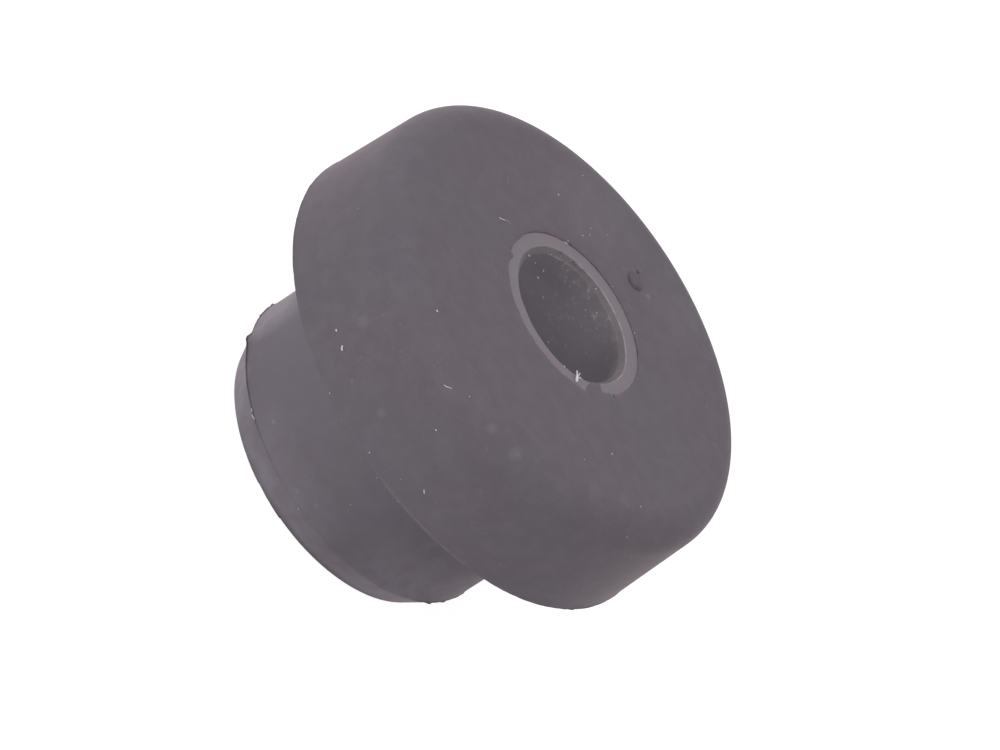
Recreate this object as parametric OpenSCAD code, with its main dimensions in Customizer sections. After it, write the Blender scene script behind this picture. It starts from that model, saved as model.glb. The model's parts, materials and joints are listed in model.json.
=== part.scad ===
// Cab mount isolator: a stepped rubber bush moulded and bonded round a steel inner sleeve.
// The bolt axis is Z. The nose end stands on Z = 0, and the head is on top.

/* [Inner sleeve] */
// Outside diameter of the steel tube
sleeve_d = 22; // [18:0.5:28]
// Wall of the steel tube
sleeve_wall = 2.5; // [1.5:0.1:4]
// Chamfer inside each end of the tube
bore_chamfer = 0.7; // [0.3:0.1:1.2]
// Depth of each end of the tube below the rubber
sleeve_inset = 0.2; // [0.1:0.05:0.6]

/* [Head] */
// Diameter of the head at its back rim, without the flash
head_d = 60.2; // [54:0.2:80]
// Thickness of the head
head_h = 16.3; // [12:0.1:30]
// Draft of the head's side, in degrees
head_draft = 2.5; // [0.5:0.5:6]
// Radius of the head's front edge
head_round = 4.3; // [1:0.1:5]
// Radius of the fillet where the boss leaves the seat
seat_fillet = 1; // [0.5:0.25:2]

/* [Boss and nose] */
// Diameter of the boss, which fills the hole of the bracket
boss_d = 40.6; // [36:0.2:48]
// Length of the boss below the seat
boss_h = 17.2; // [10:0.1:30]
// Diameter of the nose at its end
nose_d = 36.2; // [31:0.1:40]
// Length of the tapered nose, which leads the boss into its hole
nose_h = 4.3; // [2:0.1:8]
// Radius of the nose's end edge
nose_round = 0.5; // [0.2:0.1:1]

/* [Moulding marks] */
// Height of the trimmed flash above the surface that it runs round
flash_out = 0.12; // [0.05:0.01:0.2]
// Thickness of the flash at its root
flash_root = 0.4; // [0.2:0.05:0.8]
// Diameter of the sunk mark where the rubber entered the mould
gate_d = 2.7; // [1:0.1:4]
// Depth of the gate mark
gate_depth = 0.3; // [0.1:0.05:1]
// Distance of the gate mark from the bolt axis
gate_at = 16.4; // [15:0.1:19]
// Direction of the film of rubber over the end of the tube, in degrees from +X
film_dir = -30; // [-180:1:180]
// Angle that the film covers, in degrees
film_span = 18; // [5:1:60]

/* [Hidden] */

// Full circles are drawn this finely
$fn = 180;
// Extra length of a cutter past the face that it opens
past = 1;
// A sloping side ends this far inside the arc that it runs into, so that the two cross in one clean edge
tuck = 0.001;

// Radii, from the bolt axis
sleeve_r = sleeve_d / 2;
bore_r = sleeve_r - sleeve_wall;
head_r = head_d / 2;
boss_r = boss_d / 2;
nose_r = nose_d / 2;

// Heights, from the nose end
seat_z = nose_h + boss_h;
total_h = seat_z + head_h;

// Radius of the head's drafted side at a height
function side_r(z) = head_r - (z - seat_z) * tan(head_draft);

// A point on a circle of radius r round a centre, in degrees from the outward direction
function on_arc(centre, r, angle) = centre + r * [cos(angle), sin(angle)];

// The head's front edge rolls from the drafted side, at head_draft, to the flat face, at 90 degrees
head_arc_z = total_h - head_round;
head_arc = [side_r(head_arc_z) - head_round / cos(head_draft), head_arc_z];

// The nose's end edge rolls from the flat end, at -90 degrees, to the tapered side, at -nose_taper
nose_taper = atan((boss_r - nose_r) / nose_h);
nose_arc = [nose_r - nose_round * tan((90 - nose_taper) / 2), nose_round];

// The rubber in the concave corner where the boss meets the seat
module seat_fillet_section() {
  difference() {
    translate([boss_r - past, seat_z - seat_fillet]) square([seat_fillet + past, seat_fillet + past]);
    translate([boss_r + seat_fillet, seat_z - seat_fillet]) circle(r = seat_fillet);
  }
}

// Half of the rubber body's section, as [radius, height]
module body_section() {
  polygon([
    [sleeve_r, 0],
    [nose_arc[0], 0],
    on_arc(nose_arc, nose_round - tuck, -nose_taper),
    [boss_r, nose_h],
    // flash at the joint between the nose plate and the boss plate of the mould
    [boss_r + flash_out, nose_h],
    [boss_r + flash_out, nose_h + flash_root / 3],
    [boss_r, nose_h + flash_root],
    [boss_r, seat_z],
    // flash at the joint between the boss plate and the head plate
    [head_r + flash_out, seat_z],
    [head_r + flash_out, seat_z + flash_root / 3],
    [side_r(seat_z + flash_root), seat_z + flash_root],
    on_arc(head_arc, head_round - tuck, head_draft),
    [head_arc[0], total_h],
    [sleeve_r, total_h]
  ]);
  translate(head_arc) circle(r = head_round);
  translate(nose_arc) circle(r = nose_round);
  seat_fillet_section();
}

// Sunk mark in the head's face, with its length past the face
module gate_mark() {
  translate([0, gate_at, total_h - gate_depth]) cylinder(d = gate_d, h = gate_depth + past);
}

// Thin rubber that crept over the end of the tube and lies level with the head's face
module sleeve_film() {
  ring_r = bore_r + bore_chamfer;
  rotate([0, 0, film_dir - film_span / 2])
    rotate_extrude(angle = film_span)
      translate([ring_r, total_h - sleeve_inset])
        square([sleeve_r + past - ring_r, sleeve_inset]);
}

module rubber_body() {
  color("#67626A")
    union() {
      difference() {
        rotate_extrude() body_section();
        gate_mark();
      }
      sleeve_film();
    }
}

// Bore chamfer that opens upwards to the top end of the tube, at height z
module chamfer_cut(z) {
  translate([0, 0, z - bore_chamfer])
    cylinder(r1 = bore_r, r2 = bore_r + bore_chamfer + past, h = bore_chamfer + past);
}

module inner_sleeve() {
  low_end = sleeve_inset;
  high_end = total_h - sleeve_inset;
  color("#7F777C")
    difference() {
      translate([0, 0, low_end]) cylinder(r = sleeve_r, h = high_end - low_end);
      translate([0, 0, low_end - past]) cylinder(r = bore_r, h = high_end - low_end + 2 * past);
      chamfer_cut(high_end);
      translate([0, 0, low_end + high_end]) mirror([0, 0, 1]) chamfer_cut(high_end);
    }
}

rubber_body();
inner_sleeve();
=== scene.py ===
"""Cab mount isolator: a stepped rubber bush moulded and bonded round a steel sleeve.

The bolt axis is Z and the nose stands on Z = 0. Sizes are written in millimetres and turned into metres
by MM. Angles round the axis are in degrees, from +X towards +Y.
"""

import json
import math
import random

import bmesh
import bpy
from mathutils import Matrix, Vector, noise


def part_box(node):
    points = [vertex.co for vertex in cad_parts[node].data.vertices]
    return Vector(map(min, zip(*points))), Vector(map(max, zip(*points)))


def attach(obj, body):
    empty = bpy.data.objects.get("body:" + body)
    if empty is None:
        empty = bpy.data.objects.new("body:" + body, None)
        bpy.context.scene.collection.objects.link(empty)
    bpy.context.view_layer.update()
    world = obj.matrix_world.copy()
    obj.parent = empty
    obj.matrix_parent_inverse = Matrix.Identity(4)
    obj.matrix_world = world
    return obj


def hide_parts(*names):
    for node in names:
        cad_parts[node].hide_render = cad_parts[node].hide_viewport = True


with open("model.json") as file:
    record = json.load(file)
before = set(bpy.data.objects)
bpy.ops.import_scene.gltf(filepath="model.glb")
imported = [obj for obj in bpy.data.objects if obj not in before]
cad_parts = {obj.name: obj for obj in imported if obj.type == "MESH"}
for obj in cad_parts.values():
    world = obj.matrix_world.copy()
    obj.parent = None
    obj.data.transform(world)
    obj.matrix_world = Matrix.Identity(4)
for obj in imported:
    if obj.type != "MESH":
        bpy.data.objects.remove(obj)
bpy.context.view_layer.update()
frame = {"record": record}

MM = 0.001

# ---------------------------------------------------------------- sizes

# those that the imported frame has
MOUNTS = {m["name"]: m for m in frame["record"]["mounts"]}
BORE_R = MOUNTS["bolt_bore"]["dims"]["r_mm"]
BOSS_R = MOUNTS["boss"]["dims"]["r_mm"]
SEAT_Z = MOUNTS["seat_face"]["pos_m"][2] / MM
FACE_Z = MOUNTS["head_face"]["pos_m"][2] / MM
sleeve_low, sleeve_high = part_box("inner_sleeve")
SLEEVE_R = sleeve_high.x / MM
SLEEVE_LOW = sleeve_low.z / MM
SLEEVE_TOP = sleeve_high.z / MM
MID_Z = (SLEEVE_LOW + SLEEVE_TOP) / 2

# the rest of the rubber's section, and the gate mark in its face
NOSE_Z = 4.3
NOSE_R = 18.1
NOSE_ROUND = 0.5
HEAD_R = 30.1
HEAD_DRAFT = math.radians(2.5)
HEAD_ROUND = 4.3
SEAT_FILLET = 1.0
FLASH_ROOT = 0.4
GATE = Vector((0, 16.4))
GATE_R = 1.35
GATE_DEPTH = 0.3

CHAMFER = 0.7  # width and depth of the chamfer in the sleeve's ends

# sections round the bolt axis
MOULDING_STEPS = 960
SLEEVE_STEPS = 480


# ---------------------------------------------------------------- modelling helpers


def deselect():
    bpy.ops.object.select_all(action="DESELECT")


def picked(piece):
    """Makes the piece the only one that is selected, and the active one."""
    deselect()
    piece.select_set(True)
    bpy.context.view_layer.objects.active = piece
    return piece


def settled(piece):
    """Puts the piece's place into its mesh, so that its object sits at the origin."""
    picked(piece)
    bpy.ops.object.transform_apply(location=True, rotation=True, scale=True)
    return piece


def smoothed(piece, degrees):
    """Shades the piece smooth, apart from edges that are sharper than this."""
    picked(piece)
    bpy.ops.object.shade_smooth_by_angle(angle=math.radians(degrees))
    return piece


def joined(name, pieces):
    deselect()
    for p in pieces:
        p.select_set(True)
    bpy.context.view_layer.objects.active = pieces[0]
    bpy.ops.object.join()
    piece = bpy.context.object
    piece.name = piece.data.name = name
    return settled(piece)


def arc(centre, radius, start, end, cuts):
    """Points on a circle of the section, from one angle to the other, in degrees from straight outwards."""
    angles = [math.radians(start + (end - start) * i / cuts) for i in range(cuts + 1)]
    return [(centre[0] + radius * math.cos(a), centre[1] + radius * math.sin(a)) for a in angles]


def run(start, end, cuts):
    """Points along a straight side of the section, without its two ends."""
    return [
        (start[0] + (end[0] - start[0]) * i / cuts, start[1] + (end[1] - start[1]) * i / cuts)
        for i in range(1, cuts)
    ]


def turned(name, outline, steps):
    """A closed section, drawn by extruding one point along the outline and spun round the bolt axis."""
    deselect()
    r, z = outline[0]
    bpy.ops.mesh.primitive_plane_add(size=0.1 * MM, location=(r * MM, 0, z * MM))
    piece = bpy.context.object
    piece.name = piece.data.name = name
    bpy.ops.object.mode_set(mode="EDIT")
    bpy.ops.mesh.select_mode(type="VERT")
    bpy.ops.mesh.merge(type="CENTER")
    for (r0, z0), (r1, z1) in zip(outline, outline[1:] + outline[:1]):
        step = ((r1 - r0) * MM, 0, (z1 - z0) * MM)
        bpy.ops.mesh.extrude_region_move(TRANSFORM_OT_translate={"value": step})
    bpy.ops.mesh.select_all(action="SELECT")
    bpy.ops.mesh.spin(steps=steps, angle=2 * math.pi, center=(0, 0, 0), axis=(0, 0, 1))
    bpy.ops.mesh.select_all(action="SELECT")
    bpy.ops.mesh.remove_doubles(threshold=0.002 * MM)
    bpy.ops.mesh.normals_make_consistent(inside=False)
    bpy.ops.object.mode_set(mode="OBJECT")
    return settled(piece)


def ring_key(r, z):
    """A ring of a turned piece is known by its radius and height, to 0.01 mm."""
    return round(r, 2), round(z, 2)


def reworked(piece, rings):
    """Moves whole rings of a turned piece. rings gives, for a ring's (radius, height), a function of the
    angle that returns the new radius and height and, where it leans sideways, by how many degrees."""
    by_key = {ring_key(*place): move for place, move in rings.items()}
    for v in piece.data.vertices:
        r = math.hypot(v.co.x, v.co.y) / MM
        move = by_key.get(ring_key(r, v.co.z / MM))
        if move:
            angle = math.atan2(v.co.y, v.co.x)
            new_r, new_z, *lean = move(math.degrees(angle))
            angle += math.radians(sum(lean))
            v.co = (new_r * MM * math.cos(angle), new_r * MM * math.sin(angle), new_z * MM)


def marked(piece, name, rings):
    """Gives a piece an attribute that is set on each of the given rings, by a function of the angle."""
    by_key = {ring_key(*place): value for place, value in rings.items()}
    layer = piece.data.attributes.new(name, "FLOAT", "POINT")
    for v, mark in zip(piece.data.vertices, layer.data):
        value = by_key.get(ring_key(math.hypot(v.co.x, v.co.y) / MM, v.co.z / MM))
        if value:
            mark.value = value(math.degrees(math.atan2(v.co.y, v.co.x)))


def along(knots, angle):
    """The value at an angle on straight lines between given knots, each an angle and a value."""
    if angle < knots[0][0] or angle >= knots[-1][0]:
        return 0
    for (a0, v0), (a1, v1) in zip(knots, knots[1:]):
        if a0 <= angle < a1:
            return v0 + (v1 - v0) * (angle - a0) / (a1 - a0)
    return 0


def follows(knots, share=1):
    """A mark for a ring: its share of the value between the knots."""
    return lambda angle: share * along(knots, angle)


def ragged(angle, length, seed, radius=20):
    """Noise from about -1 to 1 round the axis at a radius, with bumps of the given length."""
    a = math.radians(angle)
    at = Vector((math.cos(a), math.sin(a), 0)) * (radius / length) + Vector((0, 0, 7.3 * seed))
    return noise.noise(at) + 0.5 * noise.noise(2.1 * at + Vector((3, 1, 5)))


def hump(distance, width):
    """A soft hump of height 1, which has faded at about twice its width."""
    return math.exp(-((distance / width) ** 2))


def eased(share):
    """A share from 0 to 1 that starts and ends softly."""
    s = min(1, max(0, share))
    return s * s * (3 - 2 * s)


# ---------------------------------------------------------------- materials


def colour(code):
    """An sRGB hex colour as a linear one."""
    parts = [int(code[i : i + 2], 16) / 255 for i in (1, 3, 5)]
    return [c / 12.92 if c <= 0.04045 else ((c + 0.055) / 1.055) ** 2.4 for c in parts] + [1]


def add(tree, kind, inputs=(), stops=(), **settings):
    """Adds a node. Each input is a value, or the output socket that it is linked to. The stops of a colour
    ramp are places with a grey level or a hex colour."""
    made = tree.nodes.new(kind)
    for name, value in settings.items():
        setattr(made, name, value)
    for socket, value in dict(inputs).items():
        if isinstance(value, bpy.types.NodeSocket):
            tree.links.new(value, made.inputs[socket])
        else:
            made.inputs[socket].default_value = value
    for i, (at, value) in enumerate(stops):
        stop = made.color_ramp.elements[i] if i < 2 else made.color_ramp.elements.new(at)
        stop.position = at
        stop.color = colour(value) if isinstance(value, str) else (value, value, value, 1)
    return made


def new_material(name):
    """A material with its node tree, its output node and the place on the piece in metres."""
    material = bpy.data.materials.new(name)
    material.use_nodes = True
    tree = material.node_tree
    tree.nodes.clear()
    output = add(tree, "ShaderNodeOutputMaterial")
    place = add(tree, "ShaderNodeTexCoord").outputs["Object"]
    return material, tree, output, place


def per_mm(size):
    """Noise scale whose spots are about this many millimetres across."""
    return 1 / (size * MM)


def bloom_and_painted_light_colour(tree, axes, clouds, smears, grain):
    """The rubber's black, greyed by the bloom in soft clouds, with smears and finer grain on top, and painted
    paler below the seat as painted light.
    """
    cloud = add(tree, "ShaderNodeValToRGB", {"Fac": clouds}, [(0.32, 0.0), (0.68, 1.0)])
    bloom = add(
        tree,
        "ShaderNodeMix",
        {"Factor": cloud.outputs[0], "A": colour("#635A62"), "B": colour("#625C65")},
        data_type="RGBA",
    )
    smear = add(tree, "ShaderNodeValToRGB", {"Fac": smears}, [(0.42, 0.0), (0.72, 0.43)])
    smeared = add(
        tree,
        "ShaderNodeMix",
        {"Factor": smear.outputs[0], "A": bloom.outputs["Result"], "B": colour("#6D666E")},
        data_type="RGBA",
    )
    pores = add(tree, "ShaderNodeValToRGB", {"Fac": grain}, [(0.3, 0.16), (0.62, 0.0)])
    grained = add(
        tree,
        "ShaderNodeMix",
        {"Factor": pores.outputs[0], "A": smeared.outputs["Result"], "B": colour("#4A454B")},
        data_type="RGBA",
    )
    # painted light: the boss and nose are painted paler below the seat, most on their -X side, where the
    # light falls
    below_seat = add(
        tree,
        "ShaderNodeMapRange",
        {"Value": axes.outputs["Z"], "From Min": (SEAT_Z + 0.1) * MM, "From Max": (SEAT_Z - 0.9) * MM},
    )
    to_one_side = add(
        tree,
        "ShaderNodeMapRange",
        {
            "Value": axes.outputs["X"],
            "From Min": 12 * MM,
            "From Max": -20 * MM,
            "To Min": 0.1,
            "To Max": 0.68,
        },
    )
    low_painted_light = add(
        tree,
        "ShaderNodeMath",
        {0: below_seat.outputs["Result"], 1: to_one_side.outputs["Result"]},
        operation="MULTIPLY",
    )
    bloomed_and_painted = add(
        tree,
        "ShaderNodeMix",
        {"Factor": low_painted_light.outputs[0], "A": grained.outputs["Result"], "B": colour("#79727C")},
        data_type="RGBA",
    )
    return bloomed_and_painted.outputs["Result"]


# Painted light: the boss and the nose are painted paler on the sides where the light falls, and all over the
# nose itself. Each line gives the direction, how far out that way it starts and is full, at which heights,
# and how strong it gets.
PAINTED_LIGHT_SIDES = [
    ((-0.985, -0.17, 0), (18.3, 20.5), (14.5, 8.5), 1.2),
    ((0.94, -0.34, 0), (14.2, 19.0), (13.0, 7.0), 0.3),
    ((-0.1, -0.99, 0), (16.5, 20.0), (9.5, 4.7), 0.22),
    ((-0.94, -0.34, 0), (13.4, 18.2), (4.35, 4.15), 0.5),
    ((0, 0, -1), (-5.2, -0.4), (4.35, 4.15), 0.5),
]
# scuffs and pale spots: the place, the radius, and how strong each is. The last two, wide and faint, are
# painted light that makes the face paler on its +Y side.
SCUFFS_AND_PAINTED_LIGHT = [
    ((2.23, 17.21, 37.8), 0.55, 0.34),
    ((-11.4, -27.5, 29.3), 1.1, 0.14),
    ((-1.4, -29.8, 26.4), 0.9, 0.12),
    ((6.8, -27.6, 36.4), 1.0, 0.14),
    ((10.6, -26.3, 36.5), 1.2, 0.14),
    ((18.8, -17.5, 37.8), 1.6, 0.1),
    ((21.6, -13.0, 37.8), 1.4, 0.1),
    ((-7.94, -18.67, 6.72), 0.45, 0.26),
    ((0.36, -20.29, 5.43), 0.45, 0.2),
    ((2.97, -20.07, 6.45), 0.5, 0.18),
    ((-14.5, -13.8, 3.7), 1.9, 0.35),
    ((-15.6, -11.3, 3.2), 1.2, 0.4),
    ((-10.0, 17.3, 37.8), 10.0, 0.09),
    ((5.7, 21.3, 37.8), 7.0, 0.07),
]


def pale_share_and_painted_light(tree, place, axes, clouds, smears):
    """How far the rubber turns pale: where the head's edge is worn, in small flecks and in scuffs, and as
    painted light on the sides where the light falls.
    """
    pale = add(tree, "ShaderNodeAttribute", attribute_name="worn").outputs["Fac"]
    # painted light: each side is painted paler where the light falls on it
    for direction, (start, full), (top, low), strength in PAINTED_LIGHT_SIDES:
        side = add(tree, "ShaderNodeVectorMath", {0: place, 1: direction}, operation="DOT_PRODUCT")
        by_side = add(
            tree,
            "ShaderNodeMapRange",
            {
                "Value": side.outputs["Value"],
                "From Min": start * MM,
                "From Max": full * MM,
                "To Max": strength,
            },
            interpolation_type="SMOOTHSTEP",
        )
        by_height = add(
            tree,
            "ShaderNodeMapRange",
            {"Value": axes.outputs["Z"], "From Min": top * MM, "From Max": low * MM},
        )
        pale = add(
            tree,
            "ShaderNodeMath",
            {0: by_side.outputs["Result"], 1: by_height.outputs["Result"], 2: pale},
            operation="MULTIPLY_ADD",
        ).outputs[0]
    clouded = add(
        tree,
        "ShaderNodeMapRange",
        {"Value": smears, "From Min": 0.35, "From Max": 0.65, "To Min": 0.7, "To Max": 1.25},
    )
    pale = add(
        tree, "ShaderNodeMath", {0: pale, 1: clouded.outputs["Result"]}, operation="MULTIPLY"
    ).outputs[0]
    # small faint flecks of bloom, sparse and in patches
    flecks = add(
        tree, "ShaderNodeTexNoise", {"Vector": place, "Scale": per_mm(0.75), "Detail": 2, "Roughness": 0.6}
    )
    fleck = add(tree, "ShaderNodeValToRGB", {"Fac": flecks.outputs["Fac"]}, [(0.66, 0.0), (0.76, 1.0)])
    in_patches = add(
        tree, "ShaderNodeMapRange", {"Value": clouds, "From Min": 0.58, "From Max": 0.46, "To Max": 0.2}
    )
    pale = add(
        tree,
        "ShaderNodeMath",
        {0: fleck.outputs["Color"], 1: in_patches.outputs["Result"], 2: pale},
        operation="MULTIPLY_ADD",
    ).outputs[0]
    for at, size, strength in SCUFFS_AND_PAINTED_LIGHT:
        middle = [c * MM for c in at]
        away = add(tree, "ShaderNodeVectorMath", {0: place, 1: middle}, operation="DISTANCE")
        spot_paleness = add(
            tree,
            "ShaderNodeMapRange",
            {
                "Value": away.outputs["Value"],
                "From Min": size * MM,
                "From Max": 0.2 * size * MM,
                "To Max": strength,
            },
            interpolation_type="SMOOTHSTEP",
        )
        pale = add(
            tree, "ShaderNodeMath", {0: pale, 1: spot_paleness.outputs["Result"]}, operation="ADD"
        ).outputs[0]
    return pale


def moulded_rubber():
    """Natural rubber with carbon black, compression moulded in a blasted steel mould. It is nearly matt, its
    black is greyed by a thin bloom, torn edges show how black it is inside, and painted light and shade are
    in it."""
    material, tree, output, place = new_material("moulded natural rubber, bloomed")
    axes = add(tree, "ShaderNodeSeparateXYZ", {"Vector": place})
    clouds, smears, grain = (
        add(
            tree,
            "ShaderNodeTexNoise",
            {"Vector": place, "Scale": per_mm(size), "Detail": detail, "Roughness": roughness},
        ).outputs["Fac"]
        for size, detail, roughness in ((14, 3, 0.5), (2.2, 4, 0.6), (0.3, 2, 0.6))
    )
    bloomed_and_painted = bloom_and_painted_light_colour(tree, axes, clouds, smears, grain)
    pale = pale_share_and_painted_light(tree, place, axes, clouds, smears)
    tinge = add(tree, "ShaderNodeValToRGB", {"Fac": smears}, [(0.4, "#9F9199"), (0.6, "#94909C")])
    # the pale colour, partly worn rubber and partly painted light, mixed over the rubber
    pale_and_painted_light = add(
        tree,
        "ShaderNodeMix",
        {"Factor": pale, "A": bloomed_and_painted, "B": tinge.outputs["Color"]},
        data_type="RGBA",
    )
    # fresh rubber where the flash was torn off is still black; the black in the nook under it and along the
    # edges is also painted shade
    black_and_painted_shade = add(tree, "ShaderNodeAttribute", attribute_name="torn")
    torn = add(
        tree,
        "ShaderNodeMix",
        {"Factor": black_and_painted_shade.outputs["Fac"], "A": pale_and_painted_light.outputs["Result"], "B": colour("#2E2A2F")},
        data_type="RGBA",
    )
    # painted shade in the gate mark, along the foot of its wall on the ring's side and in the pit
    in_gate_shade = add(tree, "ShaderNodeAttribute", attribute_name="gate_dust")
    with_painted_light = add(
        tree,
        "ShaderNodeMix",
        {"Factor": in_gate_shade.outputs["Fac"], "A": torn.outputs["Result"], "B": colour("#423D42")},
        data_type="RGBA",
    )
    matt = add(tree, "ShaderNodeMapRange", {"Value": smears, "To Min": 0.78, "To Max": 0.66})
    relief = add(tree, "ShaderNodeMath", {0: grain, 1: 0.35, 2: smears}, operation="MULTIPLY_ADD")
    skin = add(
        tree, "ShaderNodeBump", {"Height": relief.outputs[0], "Strength": 0.25, "Distance": 0.03 * MM}
    )
    surface = add(
        tree,
        "ShaderNodeBsdfPrincipled",
        {
            "Base Color": with_painted_light.outputs["Result"],
            "Roughness": matt.outputs["Result"],
            "Normal": skin.outputs["Normal"],
            "IOR": 1.52,
            "Sheen Weight": 0.2,
            "Sheen Roughness": 0.35,
            "Sheen Tint": colour("#F2D2D9"),
        },
    )
    tree.links.new(surface.outputs["BSDF"], output.inputs["Surface"])
    return material


def bore_colour(tree, place, stains):
    """The drawn surface inside the tube, painted paler further down as painted light, with crumbs of dust on
    one side.
    """
    drawn = add(
        tree, "ShaderNodeValToRGB", {"Fac": stains}, [(0.35, "#7C757B"), (0.58, "#847D83"), (0.7, "#8E878D")]
    )
    # painted light: further down, the bore is painted paler
    level = add(tree, "ShaderNodeVectorMath", {0: place, 1: (0.13, 0, 1)}, operation="DOT_PRODUCT")
    deep = add(
        tree,
        "ShaderNodeMapRange",
        {
            "Value": level.outputs["Value"],
            "From Min": (SLEEVE_TOP - 1.0) * MM,
            "From Max": (SLEEVE_TOP - 6.2) * MM,
        },
    )
    deep_painted_light = add(
        tree,
        "ShaderNodeMix",
        {"Factor": deep.outputs["Result"], "A": drawn.outputs["Color"], "B": colour("#BDB8BF")},
        data_type="RGBA",
    )
    crumbs = add(
        tree, "ShaderNodeTexNoise", {"Vector": place, "Scale": per_mm(0.8), "Detail": 2, "Roughness": 0.55}
    )
    crumb_spots = add(
        tree, "ShaderNodeValToRGB", {"Fac": crumbs.outputs["Fac"]}, [(0.58, 0.0), (0.74, 1.0)]
    )
    plus_y = add(tree, "ShaderNodeVectorMath", {0: place, 1: (-0.25, 0.97, 0)}, operation="DOT_PRODUCT")
    crumb_side = add(
        tree,
        "ShaderNodeMapRange",
        {"Value": plus_y.outputs["Value"], "From Min": 5 * MM, "From Max": 8.4 * MM, "To Max": 0.5},
    )
    crumb = add(
        tree,
        "ShaderNodeMath",
        {0: crumb_spots.outputs[0], 1: crumb_side.outputs["Result"]},
        operation="MULTIPLY",
    )
    with_painted_light = add(
        tree,
        "ShaderNodeMix",
        {"Factor": crumb.outputs[0], "A": deep_painted_light.outputs["Result"], "B": colour("#DAD5DA")},
        data_type="RGBA",
    )
    return with_painted_light.outputs["Result"]


def phosphated_tube():
    """Seamless steel tube with a zinc phosphate coat, which the rubber bonds to. The coat is a dull grey with
    rosy and greenish patches. The chamfer is darker and stained, with a little rust, and the coat is worn
    through to paler steel along its edges, which are also painted paler as a painted highlight."""
    material, tree, output, place = new_material("phosphated steel tube")
    patches, stains, crystals = (
        add(
            tree,
            "ShaderNodeTexNoise",
            {"Vector": place, "Scale": per_mm(size), "Detail": detail, "Roughness": roughness},
        ).outputs["Fac"]
        for size, detail, roughness in ((3.2, 3, 0.6), (0.9, 4, 0.65), (0.35, 3, 0.7))
    )
    coat = add(
        tree,
        "ShaderNodeValToRGB",
        {"Fac": patches},
        [(0.2, "#777A74"), (0.3, "#7D777C"), (0.5, "#807980"), (0.68, "#84757C")],
    )
    # 0 down in the bore, 1 from the chamfer outwards
    axes = add(tree, "ShaderNodeSeparateXYZ", {"Vector": place})
    flat_place = add(tree, "ShaderNodeCombineXYZ", {"X": axes.outputs["X"], "Y": axes.outputs["Y"]})
    radius = add(tree, "ShaderNodeVectorMath", {0: flat_place.outputs[0]}, operation="LENGTH")
    past_bore = add(
        tree,
        "ShaderNodeMapRange",
        {
            "Value": radius.outputs["Value"],
            "From Min": (BORE_R + 0.01) * MM,
            "From Max": (BORE_R + 0.08) * MM,
        },
    )
    coated = add(
        tree,
        "ShaderNodeMix",
        {
            "Factor": past_bore.outputs["Result"],
            "A": bore_colour(tree, place, stains),
            "B": coat.outputs["Color"],
        },
        data_type="RGBA",
    )
    # the attributes are set on the rings of the chamfer and of its two edges
    on_chamfer = add(tree, "ShaderNodeAttribute", attribute_name="chamfer")
    stain = add(
        tree,
        "ShaderNodeValToRGB",
        {"Fac": crystals},
        [(0.3, "#696165"), (0.48, "#70696D"), (0.6, "#757074"), (0.74, "#858086")],
    )
    stained = add(
        tree,
        "ShaderNodeMix",
        {"Factor": on_chamfer.outputs["Fac"], "A": coated.outputs["Result"], "B": stain.outputs["Color"]},
        data_type="RGBA",
    )
    on_rust = add(tree, "ShaderNodeAttribute", attribute_name="rust")
    rust_spots = add(tree, "ShaderNodeValToRGB", {"Fac": crystals}, [(0.42, 0.95), (0.56, 0.12)])
    rust = add(
        tree,
        "ShaderNodeMath",
        {0: on_rust.outputs["Fac"], 1: rust_spots.outputs["Color"]},
        operation="MULTIPLY",
    )
    rusted = add(
        tree,
        "ShaderNodeMix",
        {"Factor": rust.outputs[0], "A": stained.outputs["Result"], "B": colour("#5C4A4B")},
        data_type="RGBA",
    )
    # painted highlight: the chamfer's edges are painted paler, partly steel where the coat is worn and partly
    # a painted highlight
    on_edge_wear_and_highlight = add(tree, "ShaderNodeAttribute", attribute_name="rubbed_edge")
    worn = add(tree, "ShaderNodeValToRGB", {"Fac": stains}, [(0.36, 0.1), (0.56, 1.0)])
    bare_and_highlight = add(
        tree, "ShaderNodeMath", {0: on_edge_wear_and_highlight.outputs["Fac"], 1: worn.outputs["Color"]}, operation="MULTIPLY"
    )
    rubbed_and_highlight = add(
        tree,
        "ShaderNodeMix",
        {"Factor": bare_and_highlight.outputs[0], "A": rusted.outputs["Result"], "B": colour("#A29A9F")},
        data_type="RGBA",
    )
    dull = add(tree, "ShaderNodeMapRange", {"Value": crystals, "To Min": 0.5, "To Max": 0.75})
    skin = add(tree, "ShaderNodeBump", {"Height": crystals, "Strength": 0.3, "Distance": 0.02 * MM})
    surface = add(
        tree,
        "ShaderNodeBsdfPrincipled",
        {
            "Base Color": rubbed_and_highlight.outputs["Result"],
            "Roughness": dull.outputs["Result"],
            "Normal": skin.outputs["Normal"],
            "Metallic": 0.4,
        },
    )
    tree.links.new(surface.outputs["BSDF"], output.inputs["Surface"])
    return material


def pale_and_dry(name, spots, dark, light, roughness):
    """A dry, matt, nearly white finish, with fine spots of two close colours."""
    material, tree, output, place = new_material(name)
    fine = add(tree, "ShaderNodeTexNoise", {"Vector": place, "Scale": per_mm(spots), "Detail": 2})
    spotted = add(tree, "ShaderNodeValToRGB", {"Fac": fine.outputs["Fac"]}, [(0.3, dark), (0.7, light)])
    surface = add(
        tree,
        "ShaderNodeBsdfPrincipled",
        {"Base Color": spotted.outputs["Color"], "Roughness": roughness},
    )
    tree.links.new(surface.outputs["BSDF"], output.inputs["Surface"])
    return material


rubber = moulded_rubber()
steel = phosphated_tube()
# cotton lint and workshop dust that cling to the rubber
lint_white = pale_and_dry("cotton lint", 0.15, "#C4BDC1", "#EEEAEC", 0.9)
# a torn flake of white paint, chalky and clean
flake_white = pale_and_dry("white paint flake", 0.2, "#E4DEE2", "#F6F2F4", 0.6)


# ---------------------------------------------------------------- rubber moulding


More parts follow.
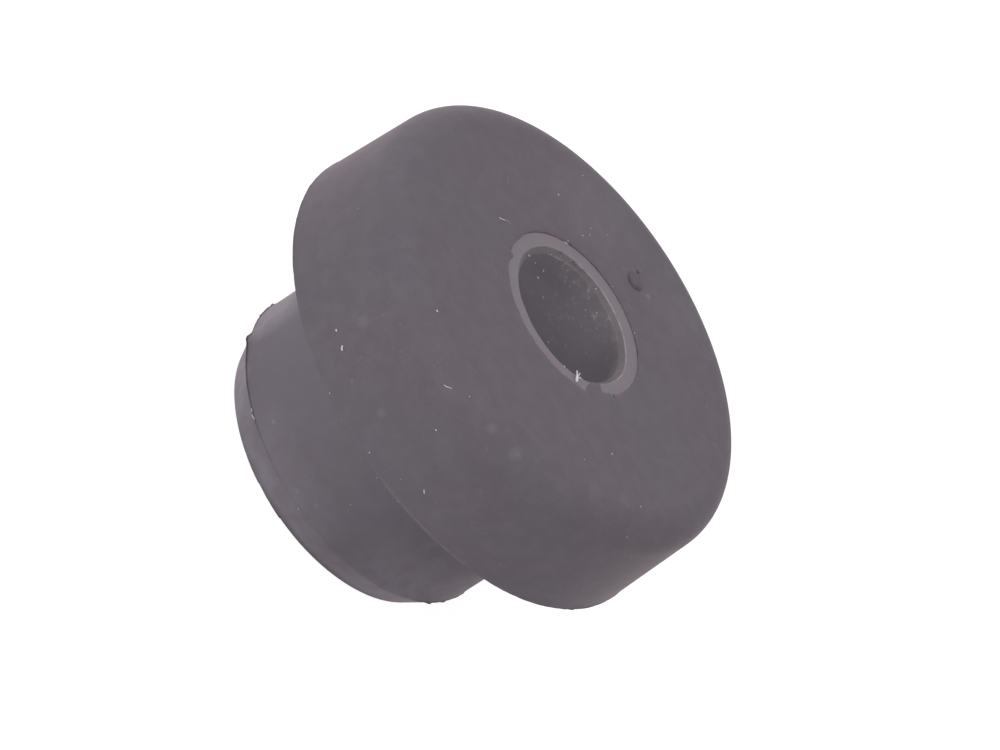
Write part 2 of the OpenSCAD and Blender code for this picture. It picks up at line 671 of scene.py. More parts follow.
def head_side_r(z):
    """Radius of the head's drafted side at a height."""
    return HEAD_R - (z - SEAT_Z) * math.tan(HEAD_DRAFT)


head_round_z = FACE_Z - HEAD_ROUND
head_round = (head_side_r(head_round_z) - HEAD_ROUND / math.cos(HEAD_DRAFT), head_round_z)
taper = math.degrees(math.atan((BOSS_R - NOSE_R) / NOSE_Z))
nose_round = (NOSE_R - NOSE_ROUND * math.tan(math.radians((90 - taper) / 2)), NOSE_ROUND)

# rings that the flash, the nook under it and the torn inner lip are shaped from
NOSE_TOP = (BOSS_R - 0.24, NOSE_Z - 0.47)
NOOK = [(BOSS_R - 0.15, NOSE_Z - 0.29), (BOSS_R - 0.09, NOSE_Z - 0.17)]
BOSS_FLASH = [
    (BOSS_R - 0.04, NOSE_Z - 0.08),
    (BOSS_R + 0.05, NOSE_Z),
    (BOSS_R + 0.06, NOSE_Z + 0.1),
    (BOSS_R + 0.02, NOSE_Z + 0.25),
]
BOSS_ROOT = (BOSS_R, NOSE_Z + FLASH_ROOT)
HEAD_FLASH = [
    (HEAD_R - 0.1, SEAT_Z),
    (HEAD_R + 0.04, SEAT_Z + 0.02),
    (HEAD_R + 0.05, SEAT_Z + 0.12),
    (HEAD_R + 0.01, SEAT_Z + 0.27),
]
LIP = [
    (SLEEVE_R + 0.75, FACE_Z),
    (SLEEVE_R + 0.4, FACE_Z - 0.02),
    (SLEEVE_R + 0.15, FACE_Z - 0.06),
    (SLEEVE_R + 0.05, FACE_Z - 0.12),
    (SLEEVE_R + 0.02, FACE_Z - 0.2),
    (SLEEVE_R + 0.01, FACE_Z - 0.3),
]
# the two rings of the face that the gate mark lies between
GATE_IN, GATE_OUT = 14.85, 18.7

seat_root = (BOSS_R + SEAT_FILLET, SEAT_Z - SEAT_FILLET)
side_start = (head_side_r(SEAT_Z + FLASH_ROOT), SEAT_Z + FLASH_ROOT)
side_end = arc(head_round, HEAD_ROUND, math.degrees(HEAD_DRAFT), 90, 18)
nose_edge = arc(nose_round, NOSE_ROUND, -90, -taper, 5)

outline = [(SLEEVE_R, 0.0)]
outline += run((SLEEVE_R, 0), nose_edge[0], 5) + nose_edge
outline += run(nose_edge[-1], NOSE_TOP, 4) + [NOSE_TOP] + NOOK + BOSS_FLASH + [BOSS_ROOT]
outline += run(BOSS_ROOT, (BOSS_R, SEAT_Z - SEAT_FILLET), 12)
outline += arc(seat_root, SEAT_FILLET, 180, 90, 6)
outline += run((BOSS_R + SEAT_FILLET, SEAT_Z), HEAD_FLASH[0], 5) + HEAD_FLASH + [side_start]
outline += run(side_start, side_end[0], 9) + side_end
outline += run(side_end[-1], (GATE_OUT, FACE_Z), 5) + [(GATE_OUT, FACE_Z), (GATE_IN, FACE_Z)]
outline += run((GATE_IN, FACE_Z), LIP[0], 3) + LIP
moulding = turned("rubber_moulding", outline, MOULDING_STEPS)

# how far the flash at the boss's edge stands out: torn off on the upper side, nibs on the lower
BOSS_TEARS = [
    (-181, 0.0), (-178.4, 0.0), (-177.7, 0.2), (-174.5, 0.16), (-172, 0.14), (-169, 0.17), (-167, 0.2),
    (-165.4, 0.11), (-162, 0.09), (-159, 0.02), (-156.6, 0.0), (-155.4, 0.1), (-152.2, 0.58),
    (-150.6, 0.55), (-149.4, 0.4), (-147.6, 0.24), (-146, 0.2), (-141, 0.16), (-132, 0.12), (-122, 0.08),
    (-108, 0.05), (-95, 0.0),
]
BOSS_NIBS = [
    (-27, 0.0), (-24, 0.02), (-21.4, 0.07), (-19.4, 0.24), (-18.2, 0.14), (-17, 0.04), (-13.2, 0.0),
    (-11.2, 0.12), (-10.2, 0.1), (-8.6, 0.0), (-3.2, 0.0), (-1, 0.06), (3, 0.05), (6, 0.0),
]
# where no flash was left, and the boss runs into the nose over a soft edge
SOFT_EDGE = [(-114, 0.0), (-102, 1.0), (-34, 1.0), (-27, 0.0)]
# how deep the nook under that flash is, and how black it is painted there, as painted shade
BOSS_NOOK = [
    (-181, 0.2), (-150, 0.24), (-138, 0.2), (-126, 0.14), (-112, 0.05), (-98, 0.0), (90, 0.0), (181, 0.2),
]
NOOK_PAINTED_SHADE = [
    (-181, 0.7), (-155, 0.95), (-140, 0.95), (-126, 0.8), (-114, 0.35), (-100, 0.1), (-84, 0.0), (90, 0.0),
    (181, 0.7),
]
# how far the nose's edge was torn outwards
NOSE_TEARS = [
    (-125, 0.0), (-112, 0.05), (-101, 0.12), (-99.8, 0.15), (-99.3, 0.02), (-95, 0.06), (-87, 0.14),
    (-84.6, 0.2), (-84, 0.02), (-70, 0.03), (-45, 0.0),
]
# nibs of the flash at the head's edge
HEAD_NIBS = [(-20.2, 0.0), (-19.4, 0.05), (-18.6, 0.0), (-17.4, 0.03), (-16.6, 0.14), (-15.8, 0.0)]
# how black the edges are painted, for fresh torn rubber and as painted shade, and where the head's edge is
# rubbed pale
NOSE_EDGE_BLACK_AND_SHADE = [
    (-125, 0.0), (-112, 0.35), (-98, 0.6), (-85, 0.9), (-30, 0.9), (0, 0.5), (60, 0.2), (100, 0.0),
]
BOSS_EDGE_BLACK_AND_SHADE = [
    (-181, 0.9), (-140, 0.9), (-120, 0.6), (-108, 0.25), (-90, 0.05), (-60, 0.0), (-28, 0.1), (-18, 0.7),
    (12, 0.8), (181, 0.9),
]
HEAD_EDGE_BLACK_AND_SHADE = [
    (-181, 0.7), (-150, 0.6), (-140, 0.3), (-128, 0.0), (-30, 0.0), (-12, 0.4), (20, 0.6), (181, 0.7),
]
WORN_HEAD_EDGE = [(-84, 0.0), (-76, 0.12), (-50, 0.12), (-38, 0.08), (-26, 0.0)]


def wrapped(angle):
    """The angle between -181 and 179 degrees, so that the torn flash isn't cut at 180."""
    return angle - 360 if angle > 179 else angle


def boss_flash(angle):
    """How far the edge stands out over the boss, with fine tears, or lies under it on the soft edge."""
    a = wrapped(angle)
    torn = along(BOSS_TEARS, a) + along(BOSS_NIBS, a)
    fine = 0.035 * ragged(a, 2.2, 1) + (0.02 + 0.4 * min(0.16, torn)) * ragged(a, 0.6, 2)
    soft = along(SOFT_EDGE, a)
    return max(0.0, 0.05 + fine + torn) * (1 - soft) - 0.07 * soft


def nook(depth, place):
    """Moves a ring under the boss's flash inwards, by a share of the nook's depth."""
    return lambda a: (place[0] - depth * along(BOSS_NOOK, a), place[1])


def boss_flash_foot(angle):
    r, z = BOSS_FLASH[0]
    return r - 1.2 * along(BOSS_NOOK, angle) - 0.06 * along(SOFT_EDGE, angle), z


def boss_flash_tip(angle):
    out = boss_flash(angle)
    return BOSS_R + out, NOSE_Z + 0.02 + 0.1 * out


def boss_flash_back(angle):
    out = boss_flash(angle)
    return BOSS_R + max(0.7 * out, out - 0.15), NOSE_Z + 0.08 + 0.15 * out


def boss_flash_slope(angle):
    out = boss_flash(angle)
    return BOSS_R + max(0.25 * out, out - 0.25), NOSE_Z + 0.22


def boss_flash_root(angle):
    """The flash starts further up the boss where it stands out far."""
    return BOSS_R, NOSE_Z + FLASH_ROOT + 2.5 * max(0, boss_flash(angle) - 0.27)


def nose_torn(share, place):
    """Moves a ring of the nose's edge outwards, by a share of how far it was torn."""

    def move(angle):
        torn = along(NOSE_TEARS, angle) * (1 + 0.5 * ragged(angle, 0.8, 14, 18))
        return place[0] + share * max(0.0, torn), place[1]

    return move


def head_flash(share, height):
    """Moves a ring of the head's edge to a height over the seat, and out by a share of the flash there."""

    def move(angle):
        a = wrapped(angle)
        fine = 0.05 * ragged(a, 3, 3, 30) + 0.03 * ragged(a, 0.8, 4, 30)
        out = min(0.14, max(0.0, 0.06 + fine + along(HEAD_NIBS, a)))
        return HEAD_R + share * out, SEAT_Z + height

    return move


def head_edge_wear(angle):
    return along(WORN_HEAD_EDGE, angle) * (0.8 + 0.9 * ragged(angle, 2, 31, 30))


# the torn mark: fresh black rubber, and painted shade in the nook and along the edges
marked(
    moulding,
    "torn",
    {
        nose_edge[2]: follows(NOSE_EDGE_BLACK_AND_SHADE, 0.7),
        nose_edge[3]: follows(NOSE_EDGE_BLACK_AND_SHADE),
        nose_edge[4]: follows(NOSE_EDGE_BLACK_AND_SHADE),
        nose_edge[5]: follows(NOSE_EDGE_BLACK_AND_SHADE, 0.55),
        NOOK[1]: follows(NOOK_PAINTED_SHADE, 0.45),
        BOSS_FLASH[0]: follows(NOOK_PAINTED_SHADE),
        BOSS_FLASH[1]: follows(BOSS_EDGE_BLACK_AND_SHADE),
        BOSS_FLASH[2]: follows(BOSS_EDGE_BLACK_AND_SHADE),
        BOSS_FLASH[3]: follows(BOSS_EDGE_BLACK_AND_SHADE, 0.1),
        HEAD_FLASH[1]: follows(HEAD_EDGE_BLACK_AND_SHADE),
        HEAD_FLASH[2]: follows(HEAD_EDGE_BLACK_AND_SHADE, 0.8),
        HEAD_FLASH[3]: follows(HEAD_EDGE_BLACK_AND_SHADE, 0.25),
    },
)
marked(moulding, "worn", dict.fromkeys(HEAD_FLASH[1:], head_edge_wear))
reworked(
    moulding,
    {
        nose_edge[3]: nose_torn(1, nose_edge[3]),
        nose_edge[4]: nose_torn(0.8, nose_edge[4]),
        NOOK[0]: nook(0.25, NOOK[0]),
        NOOK[1]: nook(0.9, NOOK[1]),
        BOSS_FLASH[0]: boss_flash_foot,
        BOSS_FLASH[1]: boss_flash_tip,
        BOSS_FLASH[2]: boss_flash_back,
        BOSS_FLASH[3]: boss_flash_slope,
        BOSS_ROOT: boss_flash_root,
        HEAD_FLASH[1]: head_flash(1, 0.02),
        HEAD_FLASH[2]: head_flash(0.9, 0.09),
        HEAD_FLASH[3]: head_flash(0.2, 0.24),
    },
)

# how far the rubber crept over the end of the sleeve
CREEP = [
    (-180, 0.04), (-175.5, 0.16), (-172, 0.15), (-168, 0.12), (-163, 0.05), (-158, 0.0), (-154.8, 0.08),
    (-154.2, 0.62), (-152.6, 0.64), (-150.6, 0.42), (-147, 0.2), (-142, 0.02), (-135, 0.06), (-131, 0.14),
    (-127, 0.0), (-124, 0.08), (-121, 0.0), (-112, 0.0), (-108, 0.14), (-104, 0.05), (-99, 0.0),
    (-92, 0.0), (-89.6, 0.2), (-87, 0.0), (-83, 0.0), (-80.5, 0.2), (-77, 0.26), (-74, 0.1),
    (-70.5, 0.12), (-66, 0.15), (-60, 0.12), (-54, 0.3), (-50.5, 0.3), (-46, 0.2), (-43, 0.1),
    (-41.4, 0.03), (-39.6, 0.16), (-38.6, 0.45), (-37.4, 0.88), (-35.9, 1.25), (-33.6, 1.5), (-32, 1.8),
    (-30.6, 1.95), (-27, 2.05), (-23.3, 2.0), (-22.95, 0.92), (-20.7, 0.8), (-16.5, 0.72), (-14.2, 0.8),
    (-13.4, 0.3), (-12.9, 0.04), (-12.2, 0.04), (-11.5, 0.3), (-10.8, 0.62), (-8.7, 0.48), (-3.8, 0.36),
    (3.8, 0.38), (13, 0.3), (22, 0.18), (35, 0.08), (42, 0.04), (52, 0.0), (134, 0.0), (144, 0.1),
    (150, 0.04), (180, 0.04),
]
# how wide the dark gap is where the rubber has shrunk away from the sleeve
GAP = [
    (-180, 0.03), (-168, 0.05), (-160, 0.08), (-156, 0.05), (-150, 0.0), (-60, 0.0), (4, 0.0), (9, 0.06),
    (24, 0.075), (40, 0.07), (54, 0.05), (80, 0.045), (100, 0.04), (120, 0.035), (135, 0.05),
    (150, 0.055), (165, 0.05), (180, 0.03),
]
OPEN_GAP = 0.05  # from this width on, the gap is open all the way down
FILM_HANG = 1.85  # where a wide film passes the sleeve's rounded rim
FILM_END = -23.25  # the angle of the film's torn end


def creep(angle):
    fine = 0.04 * ragged(angle, 0.7, 5, 11) + 0.03 * ragged(angle, 2.5, 12, 11)
    return max(0.0, along(CREEP, angle) + fine)


def gap(angle):
    broken = 0.35 + 0.5 * ragged(angle, 1.4, 6, 11) + 0.7 * ragged(angle, 0.4, 9, 11)
    return max(0.0, along(GAP, angle) * broken)


def lip(share, drop, gap_drop):
    """A ring of the inner lip: its share of the creep, and its depth under the face, shut and with a gap."""

    def move(angle):
        reach, width = share * creep(angle), gap(angle)
        opened = min(1.0, width / OPEN_GAP)
        r = SLEEVE_R - reach + width + (1 - opened) * 0.5 * (1 - share) * (1 - share)
        z = FACE_Z - drop * (1 - opened) - gap_drop * opened
        # a wide film hangs a little over the sleeve's rounded rim, and its torn end leans over the bare steel
        z -= 0.6 * max(0, reach - FILM_HANG)
        lean = 2.2 * min(1, max(0, reach - 1.05) / 0.85) * max(0, 1 - abs(angle - FILM_END) / 3)
        return r, z, lean

    return move


def lip_foot(angle):
    """The lowest ring of the lip, which lies deeper where the gap is open."""
    return SLEEVE_R - 0.8 * creep(angle), FACE_Z - 0.24 - 0.3 * min(1, gap(angle) / OPEN_GAP)


reworked(
    moulding,
    {
        LIP[1]: lip(0.25, 0.03, 0.01),
        LIP[2]: lip(0.6, 0.09, 0.03),
        LIP[3]: lip(0.9, 0.14, 0.08),
        LIP[4]: lip(1.0, 0.19, 0.26),
        LIP[5]: lip_foot,
    },
)

GATE_HALF = 2.2  # how far to each side of the gate mark the face is cut finely
GATE_CUTS = 47
GATE_PIT = Vector((-0.78, 18.2))
GATE_NIB = Vector((-1.27, 17.34))
# how high the thin lip round the dent is, as a share of its full height
GATE_LIP = [
    (-181, 0.9), (-150, 1.0), (-120, 0.5), (-60, 0.15), (20, 0.0), (160, 0.0), (160, 0.3), (181, 0.9),
]
GATE_LIP_HEIGHT = 0.07
RING_SIDE = Vector((0.38, -0.925))  # the side of the dent that faces the sleeve's ring


def crosses_gate(p, q):
    """True for an edge of the face that runs outwards over the place of the gate mark."""
    flat = abs(p.z - FACE_Z) < 0.01 and abs(q.z - FACE_Z) < 0.01
    inner, outer = sorted((p.xy.length, q.xy.length))
    across = abs(inner - GATE_IN) < 0.01 and abs(outer - GATE_OUT) < 0.01
    return flat and across and abs(p.x) < GATE_HALF and p.y > 0


def cut_gate(piece):
    """Cuts the face finely round the place of the gate mark."""
    picked(piece)
    bpy.ops.object.mode_set(mode="EDIT")
    bpy.ops.mesh.select_mode(type="EDGE")
    bpy.ops.mesh.select_all(action="DESELECT")
    mesh = bmesh.from_edit_mesh(piece.data)
    for e in mesh.edges:
        if crosses_gate(e.verts[0].co / MM, e.verts[1].co / MM):
            e.select_set(True)
    bmesh.update_edit_mesh(piece.data)
    bpy.ops.mesh.subdivide(number_cuts=GATE_CUTS)
    bpy.ops.object.mode_set(mode="OBJECT")


def gate_height(at):
    """Height of the gate mark over the face. The sprue was torn off there: the dent is deep and sharp on the
    ring's side and runs out shallow on the far side, with a thin lip, and a small pit beside it."""
    out = at - GATE
    angle = math.degrees(math.atan2(out.y, out.x))
    edge = GATE_R * (1 + 0.05 * ragged(angle, 0.9, 7, 1.35))
    near = min(1, max(0, 0.5 - 0.5 * out.y / GATE_R))
    if out.length < edge:
        depth = GATE_DEPTH * (0.1 + 1.3 * near * near) * min(1, 0.7 + 0.4 * out.length / GATE_R)
        height = -depth * eased((edge - out.length) / 0.14)
    else:
        rim = max(0, 1 - (out.length - edge) / 0.24)
        height = GATE_LIP_HEIGHT * rim * along(GATE_LIP, angle)
    pit = (at - GATE_PIT).length
    height += 0.05 * hump(pit - 0.4, 0.12) - 0.26 * hump(pit, 0.24)
    return height + 0.09 * hump((at - GATE_NIB).length, 0.16)


def gate_shade_share(at):
    """How much painted shade the gate mark gets: along the foot of its wall on the ring's side, and in the
    pit."""
    out = at - GATE
    black = 0
    if out.length <= GATE_R:
        facing = out.normalized().dot(RING_SIDE)
        foot = eased((out.length / GATE_R - 0.1) / 0.55)
        black = 0.16 + 0.84 * foot * min(1, max(0, facing + 0.4) / 0.7)
    return max(black, 0.85 * hump((at - GATE_PIT).length, 0.28))


cut_gate(moulding)
# the gate mark's painted shade, set on the points of the face round it
gate_dust = moulding.data.attributes.new("gate_dust", "FLOAT", "POINT")
for v, mark in zip(moulding.data.vertices, gate_dust.data):
    x, y, z = v.co / MM
    near_gate = abs(x) < GATE_HALF - 0.2 and GATE_IN + 0.05 < math.hypot(x, y) < GATE_OUT - 0.05 and y > 0
    if near_gate and abs(z - FACE_Z) < 0.01:
        v.co.z = (FACE_Z + gate_height(Vector((x, y)))) * MM
        mark.value = gate_shade_share(Vector((x, y)))

moulding.data.materials.append(rubber)
smoothed(moulding, 50)


# ---------------------------------------------------------------- steel sleeve

# the rolled rim between the end face and the chamfer, and the rounded edge between the chamfer and the bore
RIM = [
    (BORE_R + 0.86, SLEEVE_TOP),
    (BORE_R + 0.77, SLEEVE_TOP - 0.01),
    (BORE_R + CHAMFER, SLEEVE_TOP - 0.04),
    (BORE_R + 0.64, SLEEVE_TOP - 0.09),
]
BORE_EDGE = [(BORE_R + 0.05, SLEEVE_TOP - CHAMFER), (BORE_R, SLEEVE_TOP - CHAMFER - 0.1)]
# the outside, which clears the rubber, with its small bevel
OUTSIDE = [
    (SLEEVE_R - 0.02, SLEEVE_TOP - 0.5),
    (SLEEVE_R - 0.02, SLEEVE_TOP - 0.04),
    (SLEEVE_R - 0.06, SLEEVE_TOP),
]
chamfer = run(RIM[-1], BORE_EDGE[0], 6)
chamfer_rings = RIM + chamfer + BORE_EDGE[:1]
upper = OUTSIDE + run(OUTSIDE[-1], RIM[0], 3) + chamfer_rings + BORE_EDGE[1:]


def mirrored(places):
    """The same places at the other end of the tube."""
    return [(r, 2 * MID_Z - z) for r, z in places]


lower = mirrored(reversed(upper))
bore = run(upper[-1], lower[0], 14)
sleeve = turned("sleeve_tube", upper + bore + lower, SLEEVE_STEPS)

# how pale the chamfer's upper and lower edges are painted, for worn coat and as a painted highlight, and how
# rusty it is between them, round the axis
UPPER_WEAR_AND_HIGHLIGHT = [
    (-181, 0.3), (-120, 0.6), (-30, 0.7), (10, 0.9), (60, 1.0), (105, 0.9), (125, 0.35), (181, 0.3),
]
LOWER_WEAR_AND_HIGHLIGHT = [
    (-181, 0.1), (50, 0.15), (66, 0.5), (88, 0.45), (100, 0.2), (116, 0.5), (124, 1.0), (150, 1.0),
    (158, 0.1), (181, 0.1),
]
RUST = [(112, 0.0), (122, 0.6), (128, 1.0), (140, 1.0), (147, 0.3), (156, 0.0)]
# The chamfer was cut by hand and a little off centre: the radius of its upper edge round the axis.
CHAMFER_EDGE = [
    (-181, 9.19), (-160, 9.3), (-118, 9.33), (-111, 9.22), (-101, 9.32), (-60, 9.36), (-33, 9.38),
    (-20, 9.1), (0, 9.0), (12, 9.05), (28, 9.05), (36, 8.97), (53, 8.93), (80, 8.85), (120, 8.9),
    (133, 9.12), (148, 9.2), (165, 9.15), (181, 9.19),
]


def patchy(knots, seed):
    """A mark that follows the knots and is broken up along its length."""
    return lambda a: min(1, max(0, along(knots, a) * (0.75 + 0.7 * ragged(a, 1.2, seed, 9))))


marked(
    sleeve,
    "rubbed_edge",
    {RIM[1]: patchy(UPPER_WEAR_AND_HIGHLIGHT, 21), RIM[2]: patchy(UPPER_WEAR_AND_HIGHLIGHT, 21), BORE_EDGE[0]: patchy(LOWER_WEAR_AND_HIGHLIGHT, 22)},
)
stained_rings = RIM[3:] + chamfer + BORE_EDGE[:1]
marked(sleeve, "chamfer", dict.fromkeys(stained_rings + mirrored(stained_rings), lambda a: 1.0))
marked(sleeve, "rust", dict.fromkeys(RIM[2:] + chamfer[:3], patchy(RUST, 23)))


def hand_cut(r, z):
    """Moves a ring of the chamfer with its hand-cut edge, less so further down."""
    share = min(1, (r - BORE_R) / CHAMFER)

    def move(angle):
        shift = along(CHAMFER_EDGE, angle) - (BORE_R + CHAMFER)
        burr = 0.02 * ragged(angle, 0.8, 8, 9)
        return r + share * shift + burr, z + 0.4 * share * (1 - share) * shift

    return move


def tumbled(piece):
    """Small dents and ripples of a sawn and tumbled tube end."""
    for v in piece.data.vertices:
        place = v.co / MM
        if BORE_R + 0.02 < place.xy.length < SLEEVE_R - 0.2:
            ripple = 0.012 * noise.noise(place * 1.4) + 0.008 * noise.noise(place * 4)
            v.co.z += (ripple - 0.01) * MM * (1 if place.z > MID_Z else -1)


reworked(sleeve, {place: hand_cut(*place) for place in chamfer_rings})
tumbled(sleeve)
sleeve.data.materials.append(steel)
smoothed(sleeve, 40)


# ---------------------------------------------------------------- lint, dust and the paint flake


def fibre(points, width):
    """A short fibre or crumb through four points, each (x, y, z), thinner where it starts."""
    deselect()
    bpy.ops.curve.primitive_nurbs_path_add(location=(0, 0, 0))
    piece = bpy.context.object
    spline = piece.data.splines[0]
    # the path has a fifth point, which lies on the fourth
    for i, p in enumerate(spline.points):
        at = points[min(i, len(points) - 1)]
        p.co = (at[0] * MM, at[1] * MM, at[2] * MM, 1)
        p.radius = 0.6 if i in (0, len(points) - 1) else 1.0
    spline.order_u = 3
    spline.use_endpoint_u = True
    piece.data.bevel_depth = width / 2 * MM
    piece.data.bevel_resolution = 2
    piece.data.resolution_u = 6
    piece.data.use_fill_caps = True
    bpy.ops.object.convert(target="MESH")
    return settled(bpy.context.object)


def grain_of_dust(at, size, seed):
    """A small lumpy crumb, flattened onto the surface that it clings to."""
    deselect()
    middle = [c * MM for c in at]
    bpy.ops.mesh.primitive_ico_sphere_add(subdivisions=2, radius=size / 2 * MM, location=middle)
    piece = bpy.context.object
    bpy.ops.object.mode_set(mode="EDIT")
    bpy.ops.transform.vertex_random(offset=0.12 * size * MM, uniform=0.3, normal=0.7, seed=seed)
    bpy.ops.transform.resize(value=(1.25, 0.85, 0.8), center_override=middle)
    bpy.ops.object.mode_set(mode="OBJECT")
    return settled(piece)


# each fibre's four points and its width
FIBRES = [
    ([(-10.4, -28.1, 25.75), (-10.25, -28.2, 25.6), (-10.2, -28.22, 25.52), (-9.9, -28.35, 25.48)], 0.24),
    ([(-0.22, -29.3, 35.07), (0.02, -29.3, 35.12), (0.28, -29.2, 35.33), (0.6, -29.06, 35.54)], 0.11),
    ([(-14.08, -2.95, 37.82), (-13.84, -2.88, 37.85), (-13.6, -2.5, 37.85), (-13.45, -2.2, 37.84)], 0.13),
    ([(-13.45, -2.2, 37.84), (-13.39, -1.85, 37.83), (-13.0, -1.54, 37.82), (-12.78, -1.39, 37.8)], 0.03),
    ([(-10.69, -17.48, 4.4), (-10.55, -17.55, 4.36), (-10.45, -17.62, 4.34), (-10.36, -17.68, 4.31)], 0.17),
    ([(-10.06, -17.6, 4.1), (-9.9, -17.88, 4.2), (-9.75, -18.0, 4.3), (-9.4, -18.18, 4.39)], 0.17),
    ([(8.51, -28.71, 25.14), (8.58, -28.7, 25.06), (8.78, -28.64, 24.9), (8.9, -28.6, 24.8)], 0.13),
    ([(-8.11, 7.26, 37.62), (-7.9, 7.5, 37.63), (-7.75, 7.7, 37.63), (-7.6, 7.8, 37.62)], 0.09),
]
# each speck's place and size: on the head, the boss and the nose, and in the bore
SPECKS = [
    ((-12.24, -27.3, 25.62), 0.27), ((1.61, -30.02, 22.38), 0.17), ((3.58, -29.46, 31.1), 0.2),
    ((16.23, -9.9, 37.8), 0.2), ((2.42, -28.27, 36.5), 0.12), ((-7.84, -25.88, 37.44), 0.24),
    ((-13.25, 11.85, 37.81), 0.19), ((-7.69, 11.59, 37.8), 0.16), ((-7.35, 13.11, 37.8), 0.12),
    ((-7.96, 14.18, 37.8), 0.12), ((-6.37, 16.73, 37.8), 0.08), ((-7.94, 7.93, 37.8), 0.14),
    ((2.16, -20.32, 4.37), 0.19), ((5.05, -19.68, 10.23), 0.13), ((4.11, -19.88, 15.33), 0.09),
    ((-8.6, -0.54, 37.08), 0.23), ((-7.7, 3.53, 34.97), 0.22), ((-6.5, 5.43, 34.26), 0.23),
    ((-6.17, 5.79, 32.91), 0.3), ((-5.52, 6.42, 35.98), 0.1), ((-4.05, 7.44, 34.76), 0.1),
    ((-3.95, 7.5, 31.18), 0.2), ((0.71, 8.45, 27.97), 0.26), ((2.2, 8.18, 29.9), 0.11),
    ((-4.8, 6.99, 35.14), 0.07), ((-0.06, 8.46, 34.56), 0.13), ((0.95, 8.4, 35.67), 0.15),
    ((1.31, 8.35, 33.03), 0.1), ((2.46, 8.1, 34.76), 0.1), ((4.26, 7.32, 32.21), 0.1),
    ((0.49, 8.44, 34.07), 0.1), ((-1.45, 8.37, 37.31), 0.17), ((-4.84, 7.98, 37.6), 0.08),
    ((6.09, -29.38, 23.63), 0.07), ((-6.6, -29.46, 21.71), 0.12), ((-9.46, -28.48, 23.72), 0.06),
    ((8.04, -29.13, 21.58), 0.08), ((-3.64, -20, 15.33), 0.1), ((23.14, -10.74, 37.8), 0.14),
    ((15.17, -16, 37.8), 0.11), ((25.28, -13.87, 35.93), 0.11), ((-13.95, 19.33, 37.8), 0.11),
    ((-23.04, -18.69, 31.56), 0.09), ((-7.47, 4.24, 37.02), 0.14), ((4.73, -8.16, 37.61), 0.2),
    ((5.19, -7.91, 37.61), 0.1), ((5.28, 9.7, 37.81), 0.13), ((-0.72, 11.24, 37.81), 0.1),
]
HIDDEN_GRAINS = 26

bits = [fibre(points, width) for points, width in FIBRES]
bits += [grain_of_dust(at, size, 10 + i) for i, (at, size) in enumerate(SPECKS)]
# the same sort of dust on the sides that are turned away, by turns on the head and on the boss
dice = random.Random(41)
for i in range(HIDDEN_GRAINS):
    angle = dice.uniform(0, 180)
    if i % 2 == 0:
        z = dice.uniform(23, 33)
        r = head_side_r(z)
    else:
        z = dice.uniform(6, 20)
        r = BOSS_R
    at = (r * math.cos(math.radians(angle)), r * math.sin(math.radians(angle)), z)
    bits.append(grain_of_dust(at, dice.uniform(0.07, 0.16), 100 + i))
lint = joined("lint_and_dust", bits)
lint.data.materials.append(lint_white)
smoothed(lint, 60)

# the flake: a thick torn body, its tip, and a torn corner on each side
FLAKE = [
    ([(6.99, -7.72, 37.66), (6.78, -7.55, 37.72), (6.58, -7.34, 37.78), (6.4, -7.14, 37.84)], 0.38),
    ([(6.55, -7.26, 37.8), (6.25, -7.05, 37.86), (6.02, -6.93, 37.93), (5.86, -6.86, 38.0)], 0.19),
    ([(6.5, -7.14, 37.8), (6.44, -6.9, 37.84), (6.36, -6.64, 37.88), (6.32, -6.45, 37.9)], 0.16),
    ([(6.58, -7.14, 37.76), (6.68, -6.92, 37.76), (6.78, -6.72, 37.74), (6.88, -6.53, 37.72)], 0.15),
]
flake = joined("paint_flake", [fibre(points, width) for points, width in FLAKE])
flake.data.materials.append(flake_white)
smoothed(flake, 60)


# ---------------------------------------------------------------- floor

FLOOR_SIZE = 4  # in metres
FLOOR_GLOW = 0.955  # with the light that it also gets, it shows as white


def seen_directly(tree):
    """1 for what the camera sees itself, in a gloss or through glass, and 0 for light on its way."""
    path = add(tree, "ShaderNodeLightPath")
    seen = path.outputs["Is Camera Ray"]
    for ray in ("Is Glossy Ray", "Is Transmission Ray"):
        seen = add(tree, "ShaderNodeMath", {0: seen, 1: path.outputs[ray]}, operation="MAXIMUM").outputs[0]
    return seen


def white_paper():
    """White matt paper. It shows as white with a faint shadow, and lights the part as white paper does."""
    material, tree, output, _ = new_material("white paper floor")
    matt_paper = add(tree, "ShaderNodeBsdfDiffuse", {"Color": colour("#F2F1F2")})
    faint_paper = add(tree, "ShaderNodeBsdfDiffuse", {"Color": colour("#7C7C7C")})
    glow = add(tree, "ShaderNodeEmission", {"Color": (1, 1, 1, 1), "Strength": FLOOR_GLOW})
    white = add(tree, "ShaderNodeAddShader", {0: faint_paper.outputs[0], 1: glow.outputs[0]})
    lit = add(
        tree, "ShaderNodeMixShader", {0: seen_directly(tree), 1: matt_paper.outputs[0], 2: white.outputs[0]}
    )
    tree.links.new(lit.outputs[0], output.inputs["Surface"])
    return material


deselect()
bpy.ops.mesh.primitive_grid_add(x_subdivisions=8, y_subdivisions=8, size=FLOOR_SIZE, location=(0, 0, 0))
floor = bpy.context.object
floor.name = "studio_floor"
floor.data.materials.append(white_paper())


# ---------------------------------------------------------------- light

WORLD_LIGHT = 0.3
LAMP_SIZE = 0.6  # in metres, as the next two
LAMP_AWAY = 0.9
MIDDLE = Vector((0, 0, 0.02))  # about the middle of the part


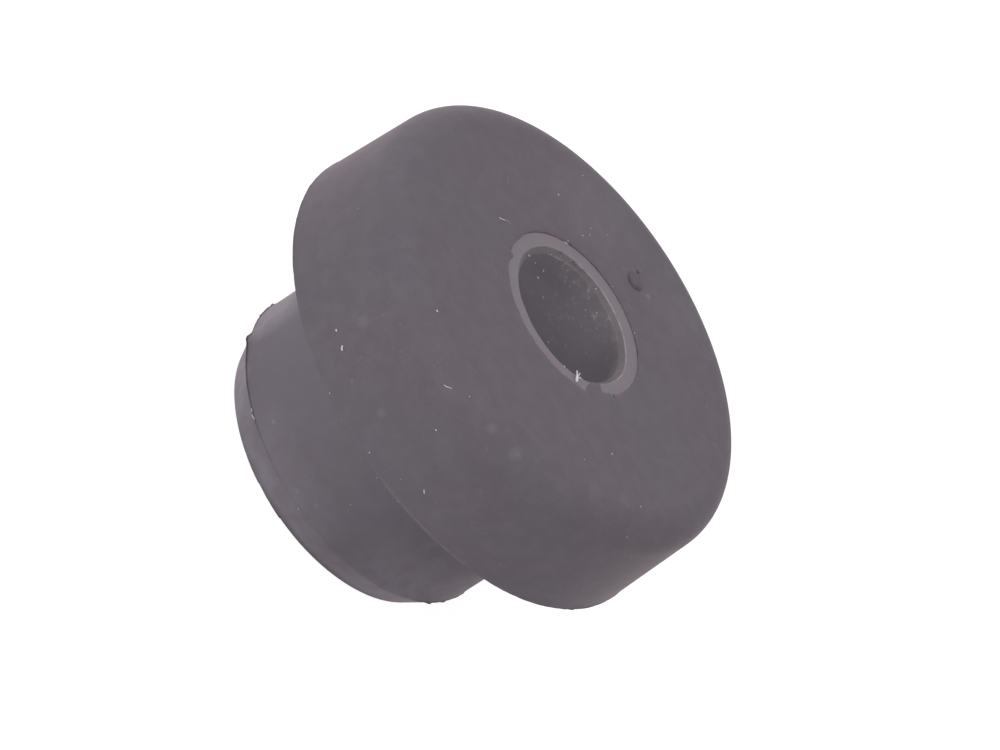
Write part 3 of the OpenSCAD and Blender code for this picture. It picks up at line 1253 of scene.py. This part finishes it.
def white_studio():
    """A world that shows as white and gives a soft even light."""
    world = bpy.data.worlds.new("white studio")
    world.use_nodes = True
    tree = world.node_tree
    tree.nodes.clear()
    soft_sky = add(tree, "ShaderNodeBackground", {"Color": (1, 1, 1, 1), "Strength": WORLD_LIGHT})
    white_sky = add(tree, "ShaderNodeBackground", {"Color": (1, 1, 1, 1), "Strength": 1.0})
    sky = add(
        tree, "ShaderNodeMixShader", {0: seen_directly(tree), 1: soft_sky.outputs[0], 2: white_sky.outputs[0]}
    )
    tree.links.new(sky.outputs[0], add(tree, "ShaderNodeOutputWorld").inputs["Surface"])
    return world


def soft_box(name, towards, power):
    """A square lamp that shines on the part from a direction, with its power in watts."""
    deselect()
    place = Vector(towards).normalized() * LAMP_AWAY + MIDDLE
    bpy.ops.object.light_add(type="AREA", location=place)
    lamp = bpy.context.object
    lamp.name = name
    lamp.data.shape = "SQUARE"
    lamp.data.size = LAMP_SIZE
    lamp.data.energy = power
    lamp.rotation_euler = (MIDDLE - place).to_track_quat("-Z", "Y").to_euler()


bpy.context.scene.world = white_studio()
soft_box("soft_box_left", (-0.4, -0.92, 0.05), 4.9)
soft_box("soft_box_over", (0.05, -0.05, 1), 2.9)
soft_box("soft_box_back", (-0.87, 0.5, 0.05), 1.5)


# ---------------------------------------------------------------- camera

AZIMUTH, ELEVATION, ROLL = math.radians(2.224), math.radians(30.068), math.radians(56.882)
AIM = Vector((1.386, -5.514, 28.191)) * MM
DISTANCE = 1.06954  # in metres
FOCAL_LENGTH = 331.55  # with a sensor 36 mm wide

turn = (
    Matrix.Rotation(AZIMUTH, 4, "Z")
    @ Matrix.Rotation(math.pi / 2 - ELEVATION, 4, "X")
    @ Matrix.Rotation(ROLL, 4, "Z")
)
deselect()
bpy.ops.object.camera_add()
camera = bpy.context.object
camera.name = "camera"
camera.matrix_world = Matrix.Translation(AIM + turn.to_3x3() @ Vector((0, 0, DISTANCE))) @ turn
camera.data.sensor_width = 36
camera.data.lens = FOCAL_LENGTH
camera.data.clip_start = 0.05
camera.data.clip_end = 20
bpy.context.scene.camera = camera
bpy.context.scene.view_settings.view_transform = "Standard"


# ---------------------------------------------------------------- pieces attached to the root body, and the CAD parts hidden

for piece, finish in ((moulding, "rubber"), (sleeve, "sleeve_steel"), (lint, "rubber"), (flake, "rubber")):
    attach(piece, "root")
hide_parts("rubber_body")
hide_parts("inner_sleeve")
